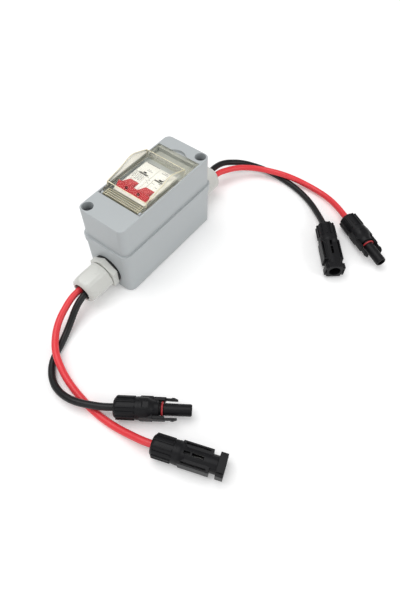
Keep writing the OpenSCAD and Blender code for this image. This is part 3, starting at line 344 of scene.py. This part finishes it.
# ---- lid screws ----
# Steel machine screws with a cross recess and a black zinc coat, sunk in the lid's recesses.
def metal_group():
    """Drawn or plated metal: streaks along Z, and a fine haze."""
    group = node_group(
        "worked_metal",
        [("Colour", "NodeSocketColor", (0.6, 0.6, 0.6, 1)), ("Roughness", "NodeSocketFloat", 0.3),
         ("Streak", "NodeSocketFloat", 0.2)],
        [("Colour", "NodeSocketColor"), ("Roughness", "NodeSocketFloat"),
         ("Height", "NodeSocketFloat")])
    link = group.links.new
    given = add(group, "NodeGroupInput")
    out = add(group, "NodeGroupOutput")
    place = add(group, "ShaderNodeTexCoord")
    drawn = add(group, "ShaderNodeMapping", Scale=(2600, 2600, 120))
    link(place.outputs["Object"], drawn.inputs["Vector"])
    streaks = add(group, "ShaderNodeTexNoise", Scale=1.0, Detail=3.0)
    link(drawn.outputs[0], streaks.inputs["Vector"])
    haze = add(group, "ShaderNodeTexNoise", Scale=260.0, Detail=5.0)
    link(place.outputs["Object"], haze.inputs["Vector"])
    dull = add(group, "ShaderNodeMapRange", To_Min=0.72, To_Max=1.12)
    link(haze.outputs["Fac"], dull.inputs["Value"])
    tint = add(group, "ShaderNodeVectorMath", operation="SCALE")
    link(given.outputs["Colour"], tint.inputs[0])
    link(dull.outputs[0], tint.inputs["Scale"])
    link(tint.outputs[0], out.inputs["Colour"])
    rough = add(group, "ShaderNodeMath", operation="MULTIPLY_ADD")
    link(streaks.outputs["Fac"], rough.inputs[0])
    link(given.outputs["Streak"], rough.inputs[1])
    link(given.outputs["Roughness"], rough.inputs[2])
    link(rough.outputs[0], out.inputs["Roughness"])
    link(streaks.outputs["Fac"], out.inputs["Height"])
    return group


worked_metal = metal_group()


def metal(name, colour, roughness, streak=0.2):
    """Material of a bare or plated metal piece."""
    material = bpy.data.materials.new(name)
    material.use_nodes = True
    tree = material.node_tree
    shader = tree.nodes["Principled BSDF"]
    work = add(tree, "ShaderNodeGroup", node_tree=worked_metal)
    for label, value in (("Colour", (*colour, 1)), ("Roughness", roughness), ("Streak", streak)):
        work.inputs[label].default_value = value
    bump = add(tree, "ShaderNodeBump", Strength=0.3, Distance=0.01 * mm)
    tree.links.new(work.outputs["Height"], bump.inputs["Height"])
    tree.links.new(work.outputs["Colour"], shader.inputs["Base Color"])
    tree.links.new(work.outputs["Roughness"], shader.inputs["Roughness"])
    tree.links.new(bump.outputs["Normal"], shader.inputs["Normal"])
    shader.inputs["Metallic"].default_value = 1.0
    material.diffuse_color = (*colour, 1)
    return material


zinc = metal("zinc_plate", (0.62, 0.62, 0.63), roughness=0.3)
black_zinc = metal("black_zinc", (0.14, 0.145, 0.155), roughness=0.36)
screws = round_edges(copy_of("lid_screws"), 0.16, 2, lambda at: at.z > 70.8 * mm)
finished(screws, "lid_screw_pair", black_zinc, "box", ["lid_screws"])


# ---- window ----
# Clear polycarbonate window with a faint cream tint, moulded in one with a dome that
# clears the handle. It swings on a steel pin between two ears of the lid.
# Its tint shows below the flange's top and in the dome's two cheeks, in millimetres.
flange_z, cheek_y, cheek_haze = (81.6, 80.8), (20.9, 21.5), 0.34


def clear_plastic(name, colour, roughness):
    """Clear plastic that refracts what lies behind, and lets most light through to it."""
    material = bpy.data.materials.new(name)
    material.use_nodes = True
    tree = material.node_tree
    shader = tree.nodes["Principled BSDF"]
    skin = add(tree, "ShaderNodeGroup", node_tree=moulded_skin)
    for label, value in (("Colour", (*colour, 1)), ("Tone", 0.05), ("Dust", 0.1),
                         ("Grain scale", 160.0), ("Roughness", roughness)):
        skin.inputs[label].default_value = value
    rays = add(tree, "ShaderNodeLightPath")
    stop = add(tree, "ShaderNodeMapRange", To_Min=1.0, To_Max=0.1)
    slant = add(tree, "ShaderNodeLayerWeight", Blend=0.4)
    place = add(tree, "ShaderNodeTexCoord")
    height = add(tree, "ShaderNodeSeparateXYZ")
    flange = add(tree, "ShaderNodeMapRange", From_Min=flange_z[0] * mm, From_Max=flange_z[1] * mm)
    aside = add(tree, "ShaderNodeMath", operation="ABSOLUTE")
    cheek = add(tree, "ShaderNodeMapRange", From_Min=cheek_y[0] * mm, From_Max=cheek_y[1] * mm)
    hazy = add(tree, "ShaderNodeMath", operation="MULTIPLY_ADD")
    hazy.inputs[1].default_value = cheek_haze
    depth = add(tree, "ShaderNodeMath", operation="MAXIMUM")
    deepest = add(tree, "ShaderNodeMath", operation="MAXIMUM")
    deeper = add(tree, "ShaderNodeMix", data_type="RGBA")
    deeper.inputs["B"].default_value = (0.8, 0.775, 0.69, 1)
    bump = add(tree, "ShaderNodeBump", Strength=0.3, Distance=0.02 * mm)
    tree.links.new(rays.outputs["Is Shadow Ray"], stop.inputs["Value"])
    tree.links.new(stop.outputs["Result"], shader.inputs["Alpha"])
    tree.links.new(skin.outputs["Height"], bump.inputs["Height"])
    tree.links.new(place.outputs["Object"], height.inputs[0])
    tree.links.new(height.outputs["Z"], flange.inputs["Value"])
    tree.links.new(slant.outputs["Facing"], depth.inputs[0])
    tree.links.new(flange.outputs["Result"], depth.inputs[1])
    tree.links.new(height.outputs["Y"], aside.inputs[0])
    tree.links.new(aside.outputs[0], cheek.inputs["Value"])
    tree.links.new(depth.outputs[0], deepest.inputs[0])
    tree.links.new(cheek.outputs["Result"], deepest.inputs[1])
    tree.links.new(deepest.outputs[0], deeper.inputs["Factor"])
    tree.links.new(cheek.outputs["Result"], hazy.inputs[0])
    tree.links.new(skin.outputs["Roughness"], hazy.inputs[2])
    tree.links.new(skin.outputs["Colour"], deeper.inputs["A"])
    tree.links.new(deeper.outputs["Result"], shader.inputs["Base Color"])
    tree.links.new(hazy.outputs[0], shader.inputs["Roughness"])
    tree.links.new(bump.outputs["Normal"], shader.inputs["Normal"])
    shader.inputs["Transmission Weight"].default_value = 1.0
    shader.inputs["IOR"].default_value = 1.12
    material.diffuse_color = (*colour, 0.35)
    return material


window_clear = clear_plastic("window_clear", (0.935, 0.93, 0.905), 0.03)
window = copy_of("window_door")
round_edges(window, 0.7, 3, lambda at: at.z > 82 * mm)
finished(window, "clear_window", window_clear, "window", ["window_door"])

# Painted highlight on the dome's edges: slim opaque cream beads stand in for the light that the
# thick moulded corners gather, in the cream of the plastic's own tint.
edge_cream_highlight = moulded("edge_cream_highlight", (0.84, 0.78, 0.58), roughness=0.3, grain_scale=700.0,
                     grain_depth=0.01, tone=0.1, dust=0.02)
dome_side = [(-25.4, 81.4), (-25.4, 85.1), (-24.4, 86), (-13, 88), (-7, 89.2), (-2, 90.6),
             (3, 92.2), (6, 92.75), (9.5, 92.5), (16, 90.5), (26.4, 86.4), (26.4, 81.4)]
dome_y = 22.2


def bead(name, knots, radius):
    """Slim round bead of painted highlight along straight or curved edges."""
    curve = bpy.data.curves.new(name, "CURVE")
    curve.dimensions = "3D"
    curve.bevel_depth = radius * mm
    curve.bevel_resolution = 2
    curve.use_fill_caps = True
    for points in knots:
        spline = curve.splines.new("POLY")
        spline.points.add(len(points) - 1)
        for knot, place in zip(spline.points, points):
            knot.co = (*(Vector(place) * mm), 1)
    curve.materials.append(edge_cream_highlight)
    piece = bpy.data.objects.new(name, curve)
    bpy.context.scene.collection.objects.link(piece)
    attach(piece, "window")


bead("dome_side_edges", [[(x, s * dome_y, z) for x, z in dome_side] for s in (-1, 1)], 0.46)
bead("dome_cross_edges", [[(x, -dome_y, z), (x, dome_y, z)] for x, z in
                          ((-24.9, 85.8), (26.4, 86.4))], 0.42)


def bar(bm, a, b, width=0.25):
    """Adds a block between two corners, with its edges rounded."""
    a, b = Vector(a), Vector(b)
    made = bmesh.ops.create_cube(bm, size=1.0)["verts"]
    bmesh.ops.scale(bm, verts=made, vec=b - a)
    bmesh.ops.translate(bm, verts=made, vec=(a + b) / 2)
    edges = list({e for v in made for e in v.link_edges})
    bmesh.ops.bevel(bm, geom=edges, offset=width * mm, offset_type="OFFSET", segments=2,
                    profile=0.5, affect="EDGES", clamp_overlap=True, material=-1)


# Stiffening ribs under the hinge end of the flange.
rib_beige = moulded("rib_beige", (0.66, 0.63, 0.5), roughness=0.35, grain_scale=700.0,
                    grain_depth=0.02, tone=0.1, dust=0.05)
ribs = bmesh.new()
for k in range(4):
    x = (-33.6 + 2.2 * k) * mm
    bar(ribs, (x, -19.9 * mm, 78.9 * mm), (x + 0.55 * mm, 19.9 * mm, 80.6 * mm), 0.15)
for y in (-19.6, -17.2, 16.7, 19.1):
    bar(ribs, (-34.2 * mm, y * mm, 78.95 * mm), (-26.6 * mm, (y + 0.5) * mm, 80.4 * mm), 0.12)
finished(ribs, "flange_ribs", rib_beige, "window")


# ---- hinge pin ----
# Bright steel pin pushed through the lid's two ears and the window's barrel.
bright_steel = metal("bright_steel", (0.7, 0.7, 0.71), roughness=0.22)
dress(bright_steel, "door_hinge_pin")


# ---- rail ----
# Top-hat rail of galvanised sheet steel on two bosses, each with a slotted screw.
galvanised = metal("galvanised_sheet", (0.56, 0.57, 0.57), roughness=0.36, streak=0.3)
dress(galvanised, "din_rail")
dress(zinc, "rail_screws")


# ---- glands ----
# Cable glands in light grey nylon: a hexagon against a black rubber washer, and a domed
# nut with grip ribs round its back half that closes a rubber insert on the two cables.
gland_nylon = moulded("gland_nylon", (0.63, 0.635, 0.6), roughness=0.27, grain_scale=1100.0,
                      grain_depth=0.02, tone=0.05, dust=0.06, coat=0.2)
washer_rubber = moulded("washer_rubber", (0.012, 0.012, 0.013), roughness=0.6,
                        grain_scale=1400.0, grain_depth=0.04, tone=0.3, dust=0.1)
gland_seal_rubber = moulded("gland_seal_rubber", (0.02, 0.02, 0.021), roughness=0.65,
                            grain_scale=1400.0, grain_depth=0.04, tone=0.3, dust=0.1)


def placed(bm, end):
    """Moves a piece drawn from the gland's wall face to one end of the box."""
    bmesh.ops.translate(bm, verts=bm.verts, vec=(wall_outline[0] * mm, 0, gland_z * mm))
    if end < 0:
        bmesh.ops.scale(bm, verts=bm.verts, vec=(-1, 1, 1))
        bmesh.ops.reverse_faces(bm, faces=bm.faces)
    return bm


# turn of the hexagon's corners, in degrees, and the nut's inner radii
nut_corner, mouth_r, thread_r, seal_r = 123, 8.6, 11.6, 10.3
# along from the wall face, half the width across the flats, and radius over the corners
nut_rings = [(8.9, 12.8, 13.3), (9.4, 13.1, 14.1), (22, 13.1, 14.4), (28, 13, 14.2),
             (30.6, 12.9, 13.9), (32.2, 12.6, 13.3), (33.4, 12, 12.4), (34.2, 11.2, 11.4),
             (34.8, 10.2, 10.3), (34.95, 9.3, 9.3),
             (34.6, mouth_r, mouth_r), (32.4, mouth_r, mouth_r), (28.3, seal_r, seal_r),
             (14.9, seal_r, seal_r), (14.9, thread_r, thread_r), (8.9, thread_r, thread_r)]


def shape_ring(verts, along, flat, over):
    """Sets a ring of points to a hexagon with its corners turned off."""
    for v in verts:
        turn = atan2(v.co.z, v.co.y)
        off = (turn - radians(nut_corner)) % radians(60) - radians(30)
        reach = min(flat / cos(off), over)
        v.co = Vector((along, reach * cos(turn), reach * sin(turn))) * mm


for label, end in (("near", -1), ("far", 1)):
    nut = bmesh.new()
    bmesh.ops.create_circle(nut, cap_ends=False, segments=144, radius=mm,
                            matrix=Matrix.Rotation(radians(90), 4, "Y"))
    first = ring = nut.edges[:]
    shape_ring(nut.verts, *nut_rings[0])
    for station in nut_rings[1:]:
        made = bmesh.ops.extrude_edge_only(nut, edges=ring)["geom"]
        ring = [e for e in made if isinstance(e, bmesh.types.BMEdge)]
        shape_ring([v for v in made if isinstance(v, bmesh.types.BMVert)], *station)
    bmesh.ops.bridge_loops(nut, edges=first + ring)
    bmesh.ops.recalc_face_normals(nut, faces=nut.faces)
    finished(placed(nut, end), label + "_dome_nut", gland_nylon, "box",
             [label + "_gland_nut"])
    body = copy_of(label + "_gland_body")
    round_edges(body, 0.6, 3, lambda at: (
        63 * mm < abs(at.x) < 70 * mm
        and (at.yz - Vector((0, gland_z * mm))).length > 12 * mm))
    finished(body, label + "_gland_hexagon", gland_nylon, "box",
             [label + "_gland_body"])
    dress(washer_rubber, label + "_gland_washer")
    dress(gland_nylon, label + "_gland_locknut")
    dress(gland_seal_rubber, label + "_gland_seal")


# ---- breaker ----
# Two-pole breaker in white moulded halves riveted together, its nose standing up through
# the lid. A fine joint runs between the poles, and small dark windows show their state.
breaker_white = moulded("breaker_white", (0.8, 0.8, 0.76), roughness=0.4, grain_scale=1300.0,
                        grain_depth=0.03, tone=0.04, dust=0.06)
for half in ("left_pole_case", "left_pole_cover", "right_pole_case", "right_pole_cover"):
    case = round_edges(copy_of(half), 0.2, 2, lambda at: at.z > 40 * mm)
    finished(case, half + "_moulding", breaker_white, "box", [half])
indicator_dark = moulded("indicator_dark", (0.02, 0.02, 0.022), roughness=0.12,
                         grain_scale=900.0, grain_depth=0.01, tone=0.1, dust=0.02, coat=0.5)
dress(indicator_dark, "status_windows")
dress(bright_steel, "breaker_rivets")

# Marks in pad print on the nose: rows of short dashes, without any lettering. The long dash at
# 20.2 along the nose's rear edge is no print but painted shade on that edge.
print_and_shade_grey = moulded("print_and_shade_grey", (0.16, 0.155, 0.16), roughness=0.5, grain_scale=1400.0,
                     grain_depth=0.01, tone=0.1, dust=0.05)
nose_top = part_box("left_pole_case")[1].z


def dash_rows(name, body, top, rows):
    """Rows of thin dashes: place along the box, then each dash's two ends across it."""
    marks = bmesh.new()
    for x, *dashes in rows:
        for y0, y1 in dashes:
            bar(marks, (x * mm, y0 * mm, top - 0.02 * mm),
                ((x + 0.5) * mm, y1 * mm, top + 0.05 * mm), 0.01)
    finished(marks, name, print_and_shade_grey, body)


dash_rows("nose_marks", "box", nose_top, [
    (5.6, (14.4, 17.2)), (3.8, (14.6, 16.4)), (2, (14.3, 17)), (0.2, (14.8, 16.9)),
    (-1.6, (14.4, 16.2)), (4.8, (1.2, 2.8)), (3, (-1.8, -0.4)), (1.2, (0.8, 2.4)),
    (-0.8, (-2.6, -1)),
    (11.8, (3, 9.4)), (13.4, (5.4, 8.8)), (12.2, (-15.2, -12.6)), (16.8, (-11.2, -3.6)),
    # the long dash at 20.2 is painted shade along the nose's rear edge
    (18.4, (-9.8, -6)), (20.2, (1.4, 15.8))])


# ---- handle ----
# Red moulded handle: one bar that joins the stems of both poles, on white drums.
handle_red = moulded("handle_red", (0.56, 0.05, 0.06), roughness=0.34, grain_scale=1200.0,
                     grain_depth=0.02, tone=0.08, dust=0.04, coat=0.05)
handle = round_edges(copy_of("toggle_handle"), 0.35, 3)
finished(handle, "handle_bar", handle_red, "handle", ["toggle_handle"])
drum = round_edges(copy_of("toggle_drums"), 0.3, 2)
finished(drum, "handle_drums", breaker_white, "handle", ["toggle_drums"])
dash_rows("drum_marks", "handle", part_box("toggle_drums")[1].z, [
    (5, (5, 8.6), (9.4, 13.2)), (3.5, (5.6, 7.2), (8, 12.8)), (2, (4.8, 9.8), (10.6, 13)),
    (0.5, (5.4, 8), (8.8, 11), (11.8, 13.2)), (-1, (5, 6.6), (7.4, 12.4)),
    (-2.5, (6, 9.2), (10, 12.8)),
    (4.4, (-12.6, -9.8)), (1.6, (-7.4, -5.2)), (-1.2, (-12.8, -10.4))])

# Two square grip recesses in the front of the bar; dark red blocks in their floors are painted
# shade inside them.
hole_shade_red = moulded("hole_shade_red", (0.1, 0.004, 0.007), roughness=0.6, grain_scale=1200.0,
                   grain_depth=0.02, tone=0.1, dust=0.02)
throw = next(joint for joint in frame["joints"] if joint["name"] == "handle_throw")
hole_turn, hole_reach, hole_y = 135.5, 21.5, 6.8


def turned(bm, degrees, axis):
    """Turns a piece about an axis through the origin."""
    bmesh.ops.rotate(bm, verts=bm.verts, cent=(0, 0, 0),
                     matrix=Matrix.Rotation(radians(degrees), 3, axis))


# dark red blocks laid in the grip recesses as painted shade
hole_shades = bmesh.new()
for s in (-1, 1):
    y = s * hole_y
    bar(hole_shades, ((hole_reach - 1) * mm, (y - 1.6) * mm, -1.4 * mm),
        (hole_reach * mm, (y + 1.6) * mm, 1.4 * mm), 0.05)
turned(hole_shades, -hole_turn, "Y")
bmesh.ops.translate(hole_shades, verts=hole_shades.verts, vec=throw["pos_m"])
finished(hole_shades, "handle_hole_shades", hole_shade_red, "handle")


# ---- breaker insides ----
# Copper arms and coils, tinned steel plates and yokes, and brass cage clamps, as they
# sit between the mouldings.
bare_copper = metal("bare_copper", (0.72, 0.36, 0.22), roughness=0.3)
plated_brass = metal("plated_brass", (0.72, 0.56, 0.27), roughness=0.3)
dress(bare_copper, "contact_arms", "fixed_contacts", "trip_coils")
dress(galvanised, "arc_chutes", "trip_yokes")
dress(bright_steel, "contact_pivots")
dress(plated_brass, "terminal_clamps")
dress(zinc, "terminal_screws")
latch_nylon = moulded("latch_nylon", (0.02, 0.02, 0.022), roughness=0.5)
dress(latch_nylon, "left_rail_latch", "right_rail_latch")
dress(red_sheath, "red_leads")
dress(black_sheath, "black_leads")


# ---- connectors ----
# Black glass-filled nylon plug connectors: a ribbed clamping nut over a rubber sleeve,
# and a housing that ends in a round nose with a red sealing ring, or in an open shell.
connector_nylon = moulded("connector_nylon", (0.0055, 0.0055, 0.0068), roughness=0.44,
                          grain_scale=1000.0, grain_depth=0.05, tone=0.25, dust=0.05, coat=0.0,
                          shine=0.22)
ring_silicone = moulded("ring_silicone", (0.36, 0.012, 0.018), roughness=0.45,
                        grain_scale=1000.0, grain_depth=0.02, tone=0.1, dust=0.05, coat=0.2)
tinned = metal("tinned_copper", (0.72, 0.71, 0.68), roughness=0.28)
# each connector's cable end along X and Y, in millimetres, and its turn in degrees
tails = {"near_plug": (-156.3, -94.2, -55), "near_shell": (-160.2, -137.4, -70),
         "far_shell": (115.8, -131, -141), "far_plug": (139, -144, -120)}


def spun(bm, outline):
    """Turns an outline of (along, radius) points, in millimetres, about the X axis."""
    corners = [bm.verts.new((x * mm, 0, r * mm)) for x, r in outline]
    edges = [bm.edges.new((a, b)) for a, b in zip(corners, corners[1:] + corners[:1])]
    bmesh.ops.spin(bm, geom=corners + edges, cent=(0, 0, 0), axis=(1, 0, 0), dvec=(0, 0, 0),
                   angle=2 * pi, steps=96, use_merge=True, use_duplicate=False)
    bmesh.ops.recalc_face_normals(bm, faces=bm.faces[:])


def laid(bm, tail):
    """Moves a piece drawn along +X from the tail to where its connector lies."""
    x, y, turn = tail
    turned(bm, turn, "Z")
    bmesh.ops.translate(bm, verts=bm.verts, vec=(x * mm, y * mm, axis_z * mm))
    return bm


parts_on = {}
for name, tail in tails.items():
    nut = bmesh.new()
    spun(nut, [(0, 3.35), (0, 6.6), (0.3, 7.3), (0.9, 7.9), (2, 8.5), (3.4, 8.9), (17.4, 8.9),
               (17.6, 9.2), (19.6, 9.3), (20.6, 9.2), (20.6, 7.2), (2.4, 7.2), (2.4, 3.35)])
    for k in range(12):
        rib = bmesh.new()
        bar(rib, (1.8 * mm, -1 * mm, 8 * mm), (17 * mm, 1 * mm, 9.72 * mm), 0.45)
        turned(rib, 30 * k + 15, "X")
        copied = bpy.data.meshes.new("rib")
        rib.to_mesh(copied)
        rib.free()
        nut.from_mesh(copied)
        bpy.data.meshes.remove(copied)
    piece = finished(laid(nut, tail), name + "_ribbed_nut", connector_nylon, "box",
                     [name + "_nut"])
    parts_on[name] = [piece]
    house = round_edges(copy_of(name + "_housing"), 0.3, 2)
    body = finished(house, name + "_body", connector_nylon, "box",
                    [name + "_housing"])
    dress(gland_seal_rubber, name + "_grip")
    inner = "_contact" if "plug" in name else "_pin"
    dress(tinned, name + inner)
    parts_on[name] += [body, name + "_grip", name + inner]
    if "plug" in name:
        dress(ring_silicone, name + "_ring")
        arms = bmesh.new()
        for s in (-1, 1):
            y0, y1 = sorted((s * 6.3, s * 9.2))
            bar(arms, (27 * mm, y0 * mm, -3.3 * mm), (40.5 * mm, y1 * mm, 3.3 * mm), 0.6)
        root = finished(laid(arms, tail), name + "_catch_roots", connector_nylon, "box")
        parts_on[name] += [name + "_ring", root]


# ---- table, backdrop and light ----
# Flat sheet of white paper under broad soft lamps, one over the box and two lower at its
# sides.
def paper_floor():
    """Wide flat white floor."""
    bm = bmesh.new()
    bmesh.ops.create_grid(bm, x_segments=2, y_segments=2, size=3.0)
    mesh = bpy.data.meshes.new("white_floor")
    bm.to_mesh(mesh)
    bm.free()
    return mesh


paper = bpy.data.materials.new("white_paper")
paper.use_nodes = True
tree = paper.node_tree
tree.nodes["Principled BSDF"].inputs["Roughness"].default_value = 0.9
tree.nodes["Principled BSDF"].inputs["Specular IOR Level"].default_value = 0.1
fibre = add(tree, "ShaderNodeTexNoise", Scale=400.0, Detail=3.0)
pale = add(tree, "ShaderNodeMapRange", To_Min=0.93, To_Max=0.97)
tree.links.new(fibre.outputs["Fac"], pale.inputs["Value"])
tree.links.new(pale.outputs["Result"], tree.nodes["Principled BSDF"].inputs["Base Color"])


def seen_rays(tree):
    """Value that is 1 for rays that come straight to the eye, or by glass or gloss."""
    rays = add(tree, "ShaderNodeLightPath")
    seen = rays.outputs["Is Camera Ray"]
    for ray in ("Is Glossy Ray", "Is Transmission Ray"):
        either = add(tree, "ShaderNodeMath", operation="ADD", use_clamp=True)
        tree.links.new(seen, either.inputs[0])
        tree.links.new(rays.outputs[ray], either.inputs[1])
        seen = either.outputs[0]
    return seen


# The paper glows a little under the box, and more where the lamps do not reach.
place = add(tree, "ShaderNodeTexCoord")
away = add(tree, "ShaderNodeVectorMath", operation="LENGTH")
glow = add(tree, "ShaderNodeMapRange", From_Min=0.35, From_Max=1.3, To_Min=0.16, To_Max=1.0)
lift = add(tree, "ShaderNodeMath", operation="MULTIPLY")
tree.links.new(place.outputs["Object"], away.inputs[0])
tree.links.new(away.outputs["Value"], glow.inputs["Value"])
tree.links.new(glow.outputs["Result"], lift.inputs[0])
tree.links.new(seen_rays(tree), lift.inputs[1])
tree.nodes["Principled BSDF"].inputs["Emission Color"].default_value = (1, 1, 1, 1)
tree.links.new(lift.outputs[0], tree.nodes["Principled BSDF"].inputs["Emission Strength"])
floor_mesh = paper_floor()
floor_mesh.materials.append(paper)
floor = bpy.data.objects.new("white_floor", floor_mesh)
bpy.context.scene.collection.objects.link(floor)


def softbox(name, place, aim, width, power):
    """Square area lamp at a place, turned to its aim."""
    lamp = bpy.data.lights.new(name, "AREA")
    lamp.size = width
    lamp.energy = power
    holder = bpy.data.objects.new(name, lamp)
    holder.location = place
    holder.rotation_euler = (Vector(aim) - Vector(place)).to_track_quat("-Z", "Y").to_euler()
    bpy.context.scene.collection.objects.link(holder)


softbox("top_softbox", (-0.1, 0.35, 1.4), (0, 0, 0), 1.2, 12)
softbox("left_softbox", (-1.2, -0.2, 0.7), (0, 0, 0.03), 0.8, 2.4)
softbox("front_softbox", (0.3, -1.2, 0.6), (0, 0, 0.03), 0.8, 4.6)

# The room lights softly from all round, and is plain white where it is seen directly.
world = bpy.data.worlds.new("studio")
world.use_nodes = True
bpy.context.scene.world = world
sky = world.node_tree
sky.nodes["Background"].inputs["Color"].default_value = (1, 1, 1, 1)
backdrop = add(sky, "ShaderNodeMapRange", To_Min=0.42, To_Max=1.0)
rays = add(sky, "ShaderNodeLightPath")
sky.links.new(rays.outputs["Is Camera Ray"], backdrop.inputs["Value"])
sky.links.new(backdrop.outputs["Result"], sky.nodes["Background"].inputs["Strength"])
bpy.context.scene.view_settings.view_transform = "Standard"
